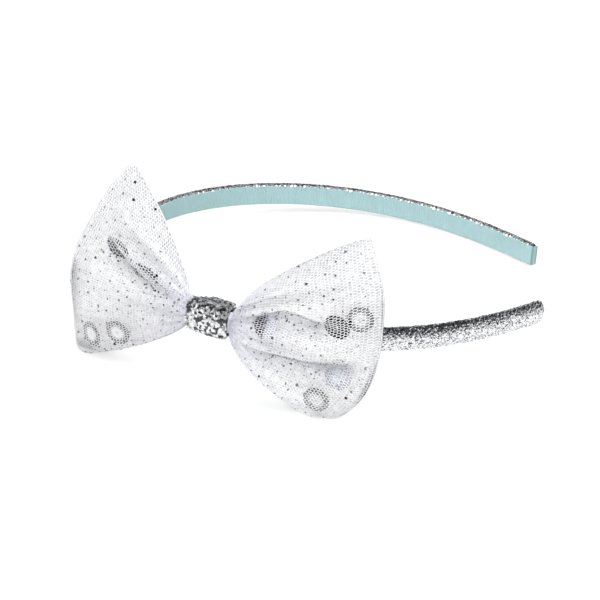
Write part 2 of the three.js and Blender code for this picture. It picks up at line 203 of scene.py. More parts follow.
# Net lying double under a pleat, with thicker threads and painted shadow on them: where the cloth is steeper
# than LAP_SLOPE and down to LAP_REACH below
LAP_SLOPE = 20.0
LAP_REACH = 0.18
LAP_STEPS = 7
LAP_FADE = 0.8
LAP_START = 0.15
LAP_EDGE = 4.0
LAP_THICKER = 0.2
# Small step along or across the cloth, to find its slope
NUDGE = 0.01

# Net: SPREAD 1 keeps the cells even towards the knot, 0 keeps their number
SPREAD = 0.75
ROW_PITCH = 0.866
WIDEST_ROW = 78.0
ROWS_REACH = 45.0
ROW_SAMPLES = 161
ROW_STARTS = (0.75, 0.25)
FEWEST_CELLS = 4
NET_START = -0.3
NET_JITTER = np.array((0.005, 0.0065))
JITTER_WITHIN = 0.99
# The same place always jitters the same way, so that threads stay joined
JITTER_MIX = np.array(((127.1, 269.5), (311.7, 183.3)))
JITTER_SCALE = 43758.5453
THREAD_SIDES = 3
THREAD_RADIUS = 0.58
AREA_STEPS = (60, 90)
HEM_ABOVE = 0.6
HEM_SAMPLES = 121
SIDE_HEM_SAMPLES = 71
SIDE_HEM_START = -0.2
# Share of the reach over which the painted shade at the knot fades
KNOT_SHADE_REACH = 0.22

# Glitter dots on the net: how far out and across, rows each side, shake in steps, share kept at the knot
DOT_REACH = (0.985, 0.97)
DOT_ROWS = 11
DOT_SHAKE = 0.16
DOT_KEPT = 0.5
DOT_WIDTH = (0.5, 0.8, 2)
DOT_THICK = 0.3
DOT_LEAN = 0.25
# More and smaller dots where the net lies double
LAP_DOTS = 2200
LAP_DOT_SIZE = 0.7

# Backing: places along the reach and across
BACKING_SHARES = np.concatenate(((-0.4, -0.2), np.linspace(0.0, 1.0, 61)))
BACKING_ACROSS = np.linspace(-1.0, 1.0, 91)

# Sequins: share of the reach, across, depth in front of the middle, lean and turn in degrees, finish
LEFT_SEQUINS = (
    (0.565, -0.55, 3.75, -12, -2, "pearl"),
    (0.82, -0.57, 2.4, -8, 20, "pearl"),
    (0.68, 0.34, 1.5, -25, 10, "dark_mirror"),
    (0.425, 0.23, 0.1, -35, 4, "dark_mirror"),
)
RIGHT_SEQUINS = (
    (0.73, 0.17, 3.3, -11, 3, "dark_mirror"),
    (0.855, 0.24, 0.8, 0, 18, "grey"),
    (0.79, -0.33, 1.85, 1, 12, "blue"),
    (0.76, -0.64, 1.75, -11, 9, "grey"),
    # The half-lit sequin is painted with a bluish highlight on one half and painted dark on the other
    (0.23, 0.05, 1.15, 14, -11, "half_lit"),
)
# Section of a sequin from its hole over the front to the rim and back: share of the radius, and side
SEQUIN_SECTION = (
    (0.125, 0), (0.155, 1), (0.4, 1), (0.7, 1), (0.9625, 1),
    (1.0, 0), (0.9625, -1), (0.7, -1), (0.4, -1), (0.155, -1),
)
SEQUIN_SIDES = 64
SEQUIN_FILM = 0.09
SEQUIN_BACK = 0.06
# Cupped rim: depth, where it starts, and how suddenly
SEQUIN_CUP = (0.55, 0.55, 1.5)
# Painted dark reflection on the cupped rim, and the split of the half-lit sequin: where it starts and how
# soft its edge is, in shares of the radius
RIM_SHADE = (0.62, 0.06)
HALF_LIT_SPLIT = (-0.15, 0.15)

# Lying: turn of the part from the plane of the band in degrees, and its shift to the floor and the middle
LEAN_ACROSS = -6.9
LEAN_ALONG = 5.33
LYING_SHIFT = np.array((2.0431, 8.8243, 13.4858))
LYING = np.array(
    Matrix.Rotation(math.radians(LEAN_ACROSS), 3, "X") @ Matrix.Rotation(math.radians(LEAN_ALONG), 3, "Y")
)

# Camera over the lying part: its place, the point of the floor that it looks at, and its roll in degrees
CAMERA_PLACE = (19.898, -953.967, 545.194)
CAMERA_AIM = (-2.95, 7.3131, 0.0)
CAMERA_ROLL = -0.2557
CAMERA_CLIP = (0.05, 50.0)

# Lamps in metres and watts: name, place, height aimed at, width, height, power, whether it shows in
# reflections, and what it lights
LAMPS = (
    ("key", (-0.15, -0.55, 1.45), 0.02, 1.5, 1.0, 26.0, False, "all_else"),
    ("left_box", (-1.5, -0.4, 0.9), 0.03, 0.9, 1.2, 9.0, True, None),
    ("right_box", (1.5, -0.2, 0.9), 0.03, 0.9, 1.2, 20.0, False, None),
    ("front_fill", (0.1, -1.8, 0.7), 0.03, 1.6, 1.0, 25.0, False, None),
    ("back_panel", (0.0, 2.4, 1.3), 0.03, 3.4, 1.4, 8.0, True, None),
    ("back_fill", (0.3, 1.7, 0.9), 0.03, 1.6, 1.0, 26.0, False, "all_else"),
    ("low_fill", (-0.3, -1.5, 0.14), 0.03, 1.6, 0.2, 7.0, False, "all_else"),
    ("floor_wash", (0.0, 0.0, 2.5), 0.0, 4.0, 4.0, 80.0, False, "floor_alone"),
)


# Sizes and colours that a user would change

def size(name, text, default):
    return bpy.props.FloatProperty(name=name, description=text, default=default, unit="LENGTH")


def tint(name, text, default):
    return bpy.props.FloatVectorProperty(name=name, description=text, default=default, subtype="COLOR")


class BandSizes(bpy.types.PropertyGroup):
    """Sizes of the facets on the glitter band and the knot, and of the ribbon."""

    facet: size("Band facet", "Size of a glitter facet on the band", 0.00031)
    facet_rise: size("Band facet rise", "How far the band's facets stand up or down", 0.000045)
    chunk: size("Knot facet", "Size of a glitter facet on the knot", 0.0006)
    chunk_rise: size("Knot facet rise", "How far the knot's facets stand up or down", 0.0001)
    rib: size("Rib pitch", "Distance between the ribs of the ribbon", 0.0008)
    rib_rise: size("Rib height", "Height of a rib of the ribbon", 0.00009)
    ribbon: size("Ribbon width", "Width of the ribbon lining", 0.0064)


class NetSizes(bpy.types.PropertyGroup):
    """Sizes of the net, the dots on it and the sequins behind it."""

    cell: size("Cell", "Width of a six-sided cell of the net", 0.0009)
    thread: size("Thread", "Thickness of a thread of the net", 0.0002)
    cut_length: size("Cut length", "Flat cloth from the knot to the outer fold", 0.0475)
    cut_width: size("Cut width", "Flat cloth along the outer fold", 0.080)
    backing: size("Backing", "Thickness of the cloth behind the net", 0.0003)
    dot: size("Dot", "Width of a glitter dot on the net", 0.0008)
    dot_step: size("Dot step", "Distance between glitter dots on the flat net", 0.0046)
    sequin: size("Sequin", "Radius of a sequin", 0.0042)


class Finishes(bpy.types.PropertyGroup):
    """Colours of the pieces."""

    silver: tint("Silver", "Bright facets of the glitter", (0.96, 0.965, 0.97))
    shade: tint("Shade", "Dull facets of the glitter", (0.07, 0.073, 0.08))
    # Painted glints: the dimmest and the brightest white of the edge sparks
    frost: tint("Frost", "Dimmest of the white sparks", (0.9, 0.91, 0.92))
    white: tint("White", "Brightest of the white sparks", (0.99, 0.99, 0.99))
    aqua: tint("Aqua", "Ribbon lining", (0.385, 0.57, 0.585))
    net: tint("Net", "Threads of the net", (0.94, 0.94, 0.95))
    cloth: tint("Backing", "Close cloth behind the net", (0.88, 0.88, 0.89))
    # Painted shade of the gathered cloth at the knot, tinted lavender
    knot_shade: tint("Dusk", "Tint of the gathered cloth at the knot", (0.72, 0.71, 0.82))
    # Painted shadow on the net that lies double under the lip of a pleat
    fold: tint("Fold", "Net lying double under a pleat", (0.5, 0.5, 0.54))
    steel: tint("Steel", "Dark glitter dots on the net", (0.26, 0.26, 0.28))
    rose: tint("Rose", "Some of the pale glitter dots", (0.95, 0.72, 0.86))
    sky: tint("Sky", "The other pale glitter dots", (0.72, 0.86, 0.98))
    # Near black: a painted dark reflection on sequins that stand for silver ones
    dark_mirror: tint("Smoke", "Dark sequins", (0.045, 0.045, 0.05))
    grey: tint("Grey", "Middle grey sequins", (0.62, 0.62, 0.64))
    pearl: tint("Pearl", "Pale sequins", (0.97, 0.97, 0.98))
    blue: tint("Blue", "Bluish sequins", (0.78, 0.83, 0.93))


class StageSizes(bpy.types.PropertyGroup):
    """Floor, room and camera."""

    floor: size("Floor", "Width of the floor", 12.0)
    pale: tint("Floor colour", "Plain pale floor", (0.92, 0.92, 0.92))
    room: tint("Room", "Light of the room around the floor", (0.06, 0.062, 0.068))
    lens: bpy.props.FloatProperty(name="Lens", description="Focal length in millimetres", default=204.63)
    sensor: bpy.props.FloatProperty(name="Sensor", description="Sensor width in millimetres", default=36.0)


class HeadbandSettings(bpy.types.PropertyGroup):
    """All sizes and colours of the headband."""

    band: bpy.props.PointerProperty(type=BandSizes)
    net: bpy.props.PointerProperty(type=NetSizes)
    finish: bpy.props.PointerProperty(type=Finishes)
    stage: bpy.props.PointerProperty(type=StageSizes)


def settings():
    return bpy.context.scene.bow_headband


# Curve of the band

def trace_curve():
    """One half of the inner curve: distance from the apex, x, y and turn at each step."""
    step = HALF_LENGTH / CURVE_STEPS
    bend = np.interp((np.arange(CURVE_STEPS) + 0.5) / CURVE_STEPS, BEND_AT, BEND)
    turn = np.concatenate(([0.0], np.cumsum(bend * step)))
    middle = turn[:-1] + 0.5 * bend * step
    x = APEX_X + np.concatenate(([0.0], np.cumsum(np.sin(middle) * step)))
    y = np.concatenate(([0.0], np.cumsum(np.cos(middle) * step)))
    return np.linspace(0.0, HALF_LENGTH, CURVE_STEPS + 1), x, y, turn


CURVE = trace_curve()


def band_point(along, out, up):
    """Point out from the inner face and up from the middle of the band, far limb positive."""
    along, out, up = np.broadcast_arrays(*(np.asarray(value, float) for value in (along, out, up)))
    side = np.where(along < 0, -1.0, 1.0)
    inside = np.minimum(np.abs(along), HALF_LENGTH)
    past = np.abs(along) - inside
    x, y, turn = (np.interp(inside, CURVE[0], row) for row in CURVE[1:])
    x = x + past * np.sin(turn) - out * np.cos(turn)
    y = y + past * np.cos(turn) + out * np.sin(turn)
    return np.stack((x, side * y, up), axis=-1)


def lay(points):
    """From the plane of the band to the lying part, still in millimetres."""
    return points @ LYING.T + LYING_SHIFT


def rest_on_floor(points, above):
    """Lying points, pressed flat where they would sink under the floor."""
    points = points.copy()
    points[..., 2] = np.maximum(points[..., 2], above)
    return points


# Shape of the bow

BOW_FOOT = band_point(BOW_AT, 0, 0)
OUTWARD = band_point(BOW_AT, 1, 0) - BOW_FOOT
TIPWARD = np.array((-OUTWARD[1], OUTWARD[0], 0.0))
UPWARD = np.array((0.0, 0.0, 1.0))
POUCH_MIDDLE = BOW_FOOT + OUTWARD * POUCH_OUT + UPWARD * POUCH_UP


def smooth_path(rows, share):
    """Point on a smooth curve through the rows at a share of its steps."""
    rows = np.asarray(rows, float)
    place = np.clip(share, 0.0, 1.0) * (len(rows) - 1)
    low = np.minimum(place.astype(int), len(rows) - 2)
    part = (place - low)[..., None]
    before, start = rows[np.maximum(low - 1, 0)], rows[low]
    end, after = rows[low + 1], rows[np.minimum(low + 2, len(rows) - 1)]
    leave, arrive = 0.5 * (end - before), 0.5 * (after - start)
    cubic = 2 * start - 2 * end + leave + arrive
    square = 3 * end - 3 * start - 2 * leave - arrive
    return ((cubic * part + square) * part + leave) * part + start


def crown(across):
    """Plain fullness of the cloth from its lower edge at -1 to its upper edge at 1."""
    return np.maximum(1 - across * across, 0.0) ** FULLNESS


def fold_depth(out, depth, fade):
    """Depth of folds that leave the knot, swell and fade along the reach."""
    return depth * np.sin(np.pi * out) * np.exp(-fade * out)


def crease_depth(out):
    return CREASE_DEPTH * (1 - np.exp(-out / CREASE_START)) * np.exp(-out / CREASE_FADE)


class Pouch:
    """One side of the bow: a rule for points on its front and back cloth.

    A place on the cloth is its share of the way from the knot to the outer fold, under 0 inside the knot,
    and its place across, from -1 at the lower edge to 1 at the upper one."""

    def __init__(self, side, neck_end, flare, edge, pleats):
        self.side = side
        self.neck_end = neck_end
        self.flare = flare
        self.edge = [(reach, height - POUCH_UP) for reach, height in edge]
        none = np.zeros(len(PLEAT_SHARES))
        self.pleats = ((none - 1, none), *pleats, (none + 1, none))
        along = BOW_AT - side * np.arange(BAND_SAMPLES)
        behind = band_point(along, COVER_EDGE + COVER_CROWN, 0) - POUCH_MIDDLE
        self.band_reach = side * (behind @ TIPWARD)
        self.band_depth = behind @ OUTWARD

    def drift(self, reach):
        """How far the pouch sweeps back along its reach."""
        return -SWEEP * reach * reach / (reach + SWEEP_EASE)

    def flat(self, share, across):
        """Reach and height of a place, as if the pouch were pressed flat."""
        rim = smooth_path(self.edge, 0.5 * (across + 1))
        out = np.maximum(share, 0.0)
        reach = self.neck_end + out * (rim[..., 0] - self.neck_end)
        reach = np.where(share < 0, self.neck_end + share * (self.neck_end - NECK_START), reach)
        neck = across * NECK_HALF
        flare = self.flare[0] + 0.5 * (across + 1) * (self.flare[1] - self.flare[0])
        return reach, neck + out ** flare * (rim[..., 1] - neck)

    def fullness(self, share, across):
        """How full the front cloth is: a plain crown at the knot and the rim, lapped pleats between."""
        total, last = 0.0, None
        for places, levels in self.pleats:
            line = np.interp(share, PLEAT_SHARES, places)
            level = np.interp(share, (PLEAT_START, *PLEAT_SHARES, 1.0),
                              (crown(places[0]), *levels, crown(places[-1])))
            if last is not None:
                part = np.clip((across - last[0]) / (line - last[0]), 0.0, 1.0)
                total = total + (level - last[1]) * part * part * (3 - 2 * part)
            last = line, level
        return total

    def waver(self, across, far, often, shift):
        """Place across the cloth, moved so that folds aren't evenly spaced."""
        return across + far * np.sin(often * across + shift * self.side)

    def front_fill(self, share, across):
        full = crown(across)
        out = np.maximum(share, 0.0)
        fill = np.interp(out, PUFF_AT, PUFF_FRONT) * self.fullness(out, across)
        gather = fold_depth(out, GATHER_DEPTH, GATHER_FADE) * full * np.cos(GATHERS * np.pi * across)
        bent = self.waver(across, *FRONT_WAVER)
        return fill + gather + crease_depth(out) * full * np.cos(CREASES * np.pi * bent)

    def lapped(self, share, across):
        """How much the front cloth lies double under the edge of a pleat, from 0 to 1; it also sets the
        painted shadow there.
        """
        lap = np.zeros(share.shape)
        for below in np.linspace(0.0, LAP_REACH, LAP_STEPS):
            above = across + below
            rise = self.front_fill(share, above + NUDGE) - self.front_fill(share, above - NUDGE)
            inside = np.clip(LAP_EDGE * (1 - np.abs(above)), 0.0, 1.0) * (1 - LAP_FADE * below / LAP_REACH)
            lap = np.maximum(lap, np.clip(rise / (2 * NUDGE) / LAP_SLOPE - 1, 0.0, 1.0) * inside)
        return lap * np.clip(share / LAP_START, 0.0, 1.0)

    def back_fill(self, share, across):
        full = crown(across)
        reach, height = self.flat(share, across)
        fill = np.interp(share, PUFF_AT, PUFF_BACK) * full
        room = self.drift(reach) - np.interp(reach, self.band_reach, self.band_depth) - CLOTH - GAP
        clear = np.maximum(np.abs(height + POUCH_UP) - 0.5 * COVER_WIDTH - CLOTH, 0.0)
        fill = np.minimum(fill, np.where(share > 0, room + BAND_CLEAR_SLOPE * clear, NECK_FILL * full))
        out = np.clip(share, 0.0, 1.0)
        bent = self.waver(across, *BACK_WAVER) + BACK_STRAY[0] * np.sin(BACK_STRAY[1] * out)
        fold = fold_depth(out, BACK_FOLD_DEPTH, BACK_FOLD_FADE) * (1 - np.cos(BACK_FOLDS * np.pi * bent))
        return fill - (fold + crease_depth(out) * (1 - np.cos(CREASES * np.pi * bent))) * full

    def within(self, share, across, depth):
        """Lying point in millimetres, in front of the middle of the pouch."""
        reach, height = self.flat(share, across)
        depth = self.drift(reach) + depth
        place = POUCH_MIDDLE + self.side * reach[..., None] * TIPWARD
        return lay(place + depth[..., None] * OUTWARD + height[..., None] * UPWARD)

    def cloth(self, share, across, front, lift=NET_LIFT):
        """Lying point on the front cloth for front 1 and on the back for -1, with lift out from the hollow.

        The front and the back are drawn together along the edges."""
        share, across = np.broadcast_arrays(np.asarray(share, float), np.asarray(across, float))
        near = (1 - share) / DRAWN_IN[0], (1 - np.abs(across)) / DRAWN_IN[1]
        edge = sum(np.exp(-(gap ** 2)) for gap in near)
        lift = lift - (lift + HOLLOW_MIN) * np.minimum(edge, 1.0)
        fill = self.front_fill(share, across) if front > 0 else self.back_fill(share, across)
        return self.within(share, across, front * (np.maximum(fill, HOLLOW_MIN) + lift))


POUCHES = {
    "left": Pouch(side=-1, neck_end=9.1, flare=(0.7, 0.7), edge=LEFT_EDGE, pleats=LEFT_PLEATS),
    "right": Pouch(side=1, neck_end=6.2, flare=(0.52, 0.7), edge=RIGHT_EDGE, pleats=RIGHT_PLEATS),
}


# Meshes

def make_mesh(name, points, faces, smooth):
    """Mesh object from points in millimetres and arrays of faces, each array with faces of one size."""
    faces = [np.asarray(rows, np.int32) for rows in faces]
    sizes = np.concatenate([np.full(len(rows), rows.shape[1], np.int32) for rows in faces])
    corners = np.concatenate([rows.ravel() for rows in faces])
    mesh = bpy.data.meshes.new(name)
    mesh.vertices.add(len(points))
    mesh.vertices.foreach_set("co", (np.asarray(points, float) * MM).ravel().astype(np.float32))
    mesh.loops.add(len(corners))
    mesh.loops.foreach_set("vertex_index", corners)
    mesh.polygons.add(len(sizes))
    mesh.polygons.foreach_set("loop_start", (np.cumsum(sizes) - sizes).astype(np.int32))
    mesh.polygons.foreach_set("use_smooth", np.full(len(sizes), smooth))
    mesh.update(calc_edges=True)
    mesh.validate()
    piece = bpy.data.objects.new(name, mesh)
    bpy.context.scene.collection.objects.link(piece)
    return piece


def mark_points(piece, name, values):
    """One number for each point of a piece, for its material."""
    made = piece.data.attributes.new(name, "FLOAT", "POINT")
    made.data.foreach_set("value", values.ravel())


def add_piece(name, points, faces, smooth, material, slot, node):
    """A piece of the part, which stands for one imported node."""
    piece = make_mesh(name, points, faces, smooth)
    piece.data.materials.append(material)
    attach(piece, "root")
    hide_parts(node)
    return piece


def unit(vectors):
    return vectors / np.maximum(np.linalg.norm(vectors, axis=-1, keepdims=True), 1e-9)


def run_length(points):
    """Distance along a line of points from its start to each of them."""
    return np.concatenate(([0.0], np.cumsum(np.linalg.norm(np.diff(points, axis=0), axis=1))))


def ring_faces(rings, size, goes_round):
    """Quads between rings of points, and the two end caps where the rings don't go round."""
    index = np.arange(rings * size).reshape(rings, size)
    here = index if goes_round else index[:-1]
    following = np.roll(index, -1, axis=0) if goes_round else index[1:]
    quads = np.stack((here, np.roll(here, -1, axis=1), np.roll(following, -1, axis=1), following), axis=-1)
    caps = np.array([index[0][::-1], index[-1]])
    return (quads.reshape(-1, 4),) if goes_round else (quads.reshape(-1, 4), caps)


def split_quads(quads, draw):
    """Triangles from quads, each cut along a diagonal drawn at random."""
    turned = np.where(draw.random(len(quads))[:, None] < 0.5, quads, np.roll(quads, 1, axis=1))
    return np.concatenate((turned[:, [0, 1, 2]], turned[:, [0, 2, 3]]))


def facing_out(points, faces):
    """Faces turned to point out, by the sign of the volume inside the quads."""
    a, b, c, d = (points[corner] for corner in faces[0].T)
    if (a * (np.cross(b, c) + np.cross(c, d))).sum() < 0:
        return tuple(rows[:, ::-1] for rows in faces)
    return faces


def side_ways(way):
    """Two directions square to each way and to each other, found from one that isn't near it."""
    steep = np.abs(way[:, 2:]) >= 0.8
    other = np.where(steep, np.array((1.0, 0.0, 0.0)), UPWARD)
    first = unit(np.cross(way, other))
    return first, np.cross(way, first)


def prisms(low, high):
    """Closed prisms between pairs of rings: points and faces."""
    count, sides = low.shape[:2]
    points = np.stack((low, high), axis=1).reshape(-1, 3)
    base = np.arange(count)[:, None] * 2 * sides
    corner = np.arange(sides)
    after = (corner + 1) % sides
    quads = np.stack((corner, after, after + sides, corner + sides), axis=-1)
    quads = (base[:, None] + quads[None]).reshape(-1, 4)
    caps = np.concatenate((base + corner[::-1], base + corner + sides))
    return points, (quads, caps)


def rods(starts, ends, radius, sides):
    """Closed straight rods: points and faces."""
    first, second = side_ways(unit(ends - starts))
    angle = np.arange(sides)[:, None] * 2 * np.pi / sides
    ring = (first[:, None] * np.cos(angle) + second[:, None] * np.sin(angle)) * radius[:, None, None]
    return prisms(starts[:, None] + ring, ends[:, None] + ring)


def chips(middles, facing, lean, width, thick, draw):
    """Closed uneven six-sided plates that lean and turn at random: points and faces.

    The width is the least one, the most that is added to it, and the power that makes wide ones rare."""
    count = len(middles)
    facing = unit(facing + draw.normal(0.0, lean, facing.shape))
    least, more, power = width
    wide = (least + more * draw.random(count) ** power)[:, None]
    first, second = side_ways(facing)
    angle = draw.random((count, 1)) * 2 * np.pi + np.arange(CHIP_SIDES) * 2 * np.pi / CHIP_SIDES
    reach = 0.5 * wide * (CHIP_UNEVEN[0] + CHIP_UNEVEN[1] * draw.random((count, CHIP_SIDES)))
    ring = middles[:, None] + first[:, None] * (np.cos(angle) * reach)[..., None]
    ring = ring + second[:, None] * (np.sin(angle) * reach)[..., None]
    half = 0.5 * thick * facing[:, None]
    return prisms(ring - half, ring + half)


# Materials

class Socket:
    """A shader socket that takes part in Python arithmetic."""

    def __init__(self, tree, socket):
        self.tree = tree
        self.socket = socket

    @staticmethod
    def fill(tree, made, inputs):
        """Sets or links a node's inputs by name or number."""
        for key, value in inputs.items():
            if isinstance(value, Socket):
                tree.links.new(value.socket, made.inputs[key])
            else:
                made.inputs[key].default_value = value

    @staticmethod
    def node(tree, kind, output, settings, inputs):
        """One output of any new node."""
        made = tree.nodes.new(kind)
        for name, value in settings.items():
            setattr(made, name, value)
        Socket.fill(tree, made, inputs)
        return Socket(tree, made.outputs[output])

    def math(self, operation, other):
        return Socket.node(self.tree, "ShaderNodeMath", 0, {"operation": operation}, {0: self, 1: other})

    def mix(self, low, high):
        """Colour between low and high, with this number as the factor."""
        low, high = (end if isinstance(end, Socket) else (*end, 1.0) for end in (low, high))
        return Socket.node(self.tree, "ShaderNodeMix", 2, {"data_type": "RGBA"}, {0: self, 6: low, 7: high})

    def __add__(self, other):
        return self.math("ADD", other)

    __radd__ = __add__

    def __mul__(self, other):
        return self.math("MULTIPLY", other)

    __rmul__ = __mul__

    def __gt__(self, other):
        return self.math("GREATER_THAN", other)

    def __lt__(self, other):
        return self.math("LESS_THAN", other)


def new_material(name):
    """Material, its tree, and the place on the piece in millimetres."""
    material = bpy.data.materials.new(name)
    material.use_nodes = True
    tree = material.node_tree
    metres = Socket.node(tree, "ShaderNodeTexCoord", "Object", {}, {})
    place = Socket.node(tree, "ShaderNodeVectorMath", "Vector", {"operation": "SCALE"},
                        {"Vector": metres, "Scale": 1 / MM})
    return material, tree, place


def shade(material, **inputs):
    """The material, with its shader's inputs set or linked by name, with underscores for spaces."""
    tree = material.node_tree
    inputs = {name.replace("_", " "): value for name, value in inputs.items()}
    Socket.fill(tree, tree.nodes["Principled BSDF"], inputs)
    return material


def noise(tree, place, per_mm, detail):
    inputs = {"Vector": place, "Scale": per_mm, "Detail": detail}
    return Socket.node(tree, "ShaderNodeTexNoise", "Fac", {}, inputs)


def point_mark(tree, name):
    """The number that mark_points gave to each point."""
    return Socket.node(tree, "ShaderNodeAttribute", "Fac", {"attribute_name": name}, {})


def cells(tree, place, per_mm):
    """Three random numbers for each small cell of the surface."""
    colour = Socket.node(tree, "ShaderNodeTexVoronoi", "Color", {}, {"Vector": place, "Scale": per_mm})
    red = Socket.node(tree, "ShaderNodeSeparateColor", "Red", {}, {"Color": colour})
    return [Socket(tree, output) for output in red.socket.node.outputs]


def dimmed(colour, share):
    return tuple(share * part for part in colour)


def glitter_material(name, per_mm, dull, smooth, metal):
    """Metal flakes of many tones; dull is the share of dark ones, smooth the least roughness."""
    finish = settings().finish
    material, tree, place = new_material(name)
    pick, bright, rough = cells(tree, place, per_mm)
    tone = (pick > dull) * (0.5 + 0.5 * bright)
    colour = tone.mix(finish.shade, finish.silver)
    return shade(material, Base_Color=colour, Roughness=smooth + 0.25 * rough, Metallic=metal)


def glint_material():
    """White flakes, each a little different, painted white as glints."""
    finish = settings().finish
    material, tree, place = new_material("edge_spark_look")
    bright, rough = cells(tree, place, per_mm=1.0)[:2]
    colour = bright.mix(finish.frost, finish.white)
    return shade(material, Base_Color=colour, Roughness=0.2 + 0.2 * rough, Metallic=0.1)


def ribbon_material():
    """Ribbed ribbon with a fine grain, with painted shade where it is turned round the tip."""
    aqua = settings().finish.aqua
    material, tree, place = new_material("aqua_ribbon_look")
    grain = noise(tree, place, per_mm=6.0, detail=2.0)
    tone = 0.55 * noise(tree, place, per_mm=0.25, detail=4.0) + 0.45 * grain
    colour = tone.mix(dimmed(aqua, 0.86), dimmed(aqua, 1.1))
    # Painted shade where the ribbon is turned round the far tip
    colour = point_mark(tree, "turned").mix(colour, dimmed(aqua, 0.55))
    weave = Socket.node(tree, "ShaderNodeBump", "Normal", {},
                        {"Strength": 0.4, "Distance": 0.05 * MM, "Height": grain})
    return shade(material, Base_Color=colour, Roughness=0.5 + 0.24 * grain, Normal=weave, Sheen_Weight=0.25)


def net_material():
    """White thread, with painted shade where the net is gathered at the knot and painted shadow where it lies
    double under a pleat.
    """
    finish = settings().finish
    material, tree, place = new_material("white_net_look")
    # Painted shade where the net is gathered at the knot
    thread = point_mark(tree, "gathered").mix(finish.net, finish.knot_shade)
    # Painted shadow under the lip of a pleat, where the net lies double
    colour = point_mark(tree, "lapped").mix(thread, finish.fold)
    rough = 0.4 + 0.3 * noise(tree, place, per_mm=1.5, detail=2.0)
    return shade(material, Base_Color=colour, Roughness=rough, Sheen_Weight=0.3)


def backing_material():
    """Close white cloth with a mottle of about a net cell."""
    cloth = settings().finish.cloth
    material, tree, place = new_material("backing_look")
    bright, rough = cells(tree, place, per_mm=1.1)[:2]
    colour = bright.mix(dimmed(cloth, 0.7), cloth)
    return shade(material, Base_Color=colour, Roughness=0.7 + 0.2 * rough, Sheen_Weight=0.2)


def dot_material():
    """Dark metal dots, with a few pale rose and blue ones."""
    finish = settings().finish
    material, tree, place = new_material("net_dot_look")
    pick, hue, rough = cells(tree, place, per_mm=0.7)
    colour = (pick > 0.84).mix(finish.steel, hue.mix(finish.rose, finish.sky))
    return shade(material, Base_Color=colour, Roughness=0.18 + 0.14 * rough, Metallic=1.0)


def sequin_material(kind):
    """Film with a painted dark reflection on its rim and clouds in its gloss."""
    finish = settings().finish
    # Colour, share of it left where the rim reflection is painted dark, metallic and roughness
    colour, dark, metal, rough = {
        "pearl": (finish.pearl, 0.12, 0.2, 0.3),
        "blue": (finish.blue, 0.6, 0.5, 0.22),
        "grey": (finish.grey, 0.25, 1.0, 0.15),
        # Sequins painted near black as a dark reflection
        "dark_mirror": (finish.dark_mirror, 0.12, 1.0, 0.2),
        # One half painted as a bluish highlight, the other painted dark
        "half_lit": (finish.blue, 0.02, 0.5, 0.22),
    }[kind]
    material, tree, place = new_material(f"sequin_{kind}_look")
    tone = point_mark(tree, "rim").mix(colour, dimmed(colour, dark))
    cloud = rough - 0.06 + 0.12 * noise(tree, place, per_mm=0.6, detail=2.0)
    return shade(material, Base_Color=tone, Roughness=cloud, Metallic=metal, Coat_Weight=0.4)


# Builders

